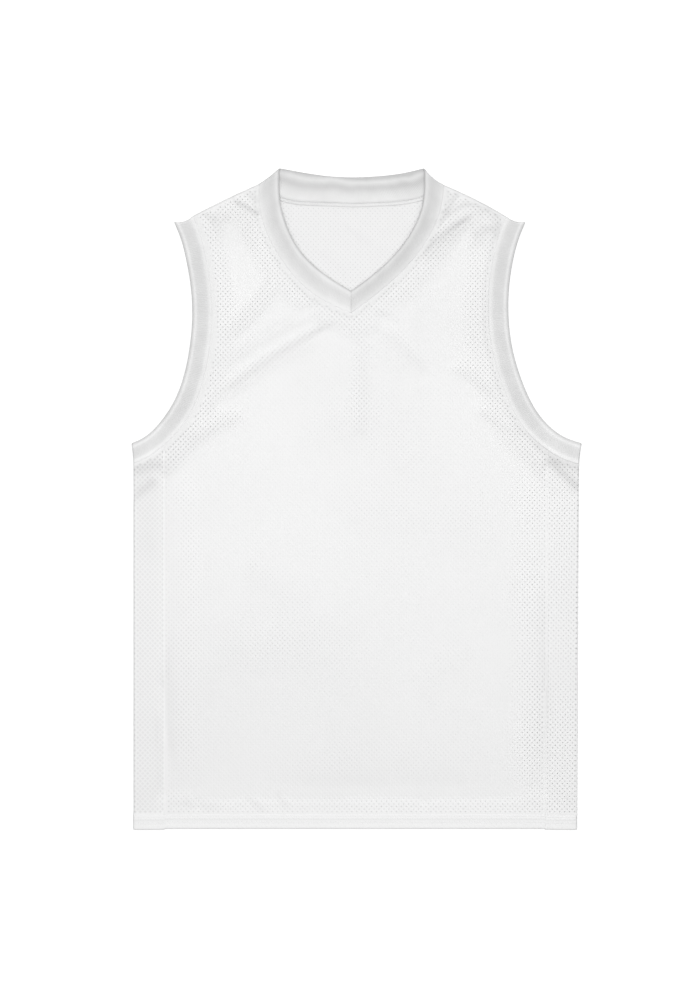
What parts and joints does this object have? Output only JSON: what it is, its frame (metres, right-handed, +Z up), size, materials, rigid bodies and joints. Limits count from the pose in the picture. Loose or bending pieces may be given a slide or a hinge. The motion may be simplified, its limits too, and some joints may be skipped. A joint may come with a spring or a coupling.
{
  "type": "basketball jersey",
  "caption": "Sleeveless V-neck basketball jersey in white eyelet mesh with ribbed neck and armhole bands, laid flat with its front upwards.",
  "frame": {"origin": "centre of the jersey's bounding box, on the plane that its back lies on", "axes": "+X towards the wearer's left, +Y from the hem to the collar, +Z up through the front; lying at rest with its back down"},
  "size_m": [0.5038, 0.7405, 0.0073],
  "materials": {
    "front_panel": "white polyester eyelet mesh, matte",
    "back_panel": "white polyester eyelet mesh, matte",
    "right_side_panel": "white polyester eyelet mesh, matte",
    "left_side_panel": "white polyester eyelet mesh, matte",
    "right_armhole_band": "white rib knit, matte",
    "left_armhole_band": "white rib knit, matte",
    "neck_collar": "white rib knit, matte",
    "back_neck_tape": "white woven tape, matte"
  },
  "bodies": {
    "root": {"front_panel": "front_panel", "back_panel": "back_panel", "right_side_panel": "right_side_panel", "left_side_panel": "left_side_panel", "right_armhole_band": "right_armhole_band", "left_armhole_band": "left_armhole_band", "neck_collar": "neck_collar", "back_neck_tape": "back_neck_tape"}
  },
  "joints": []
}
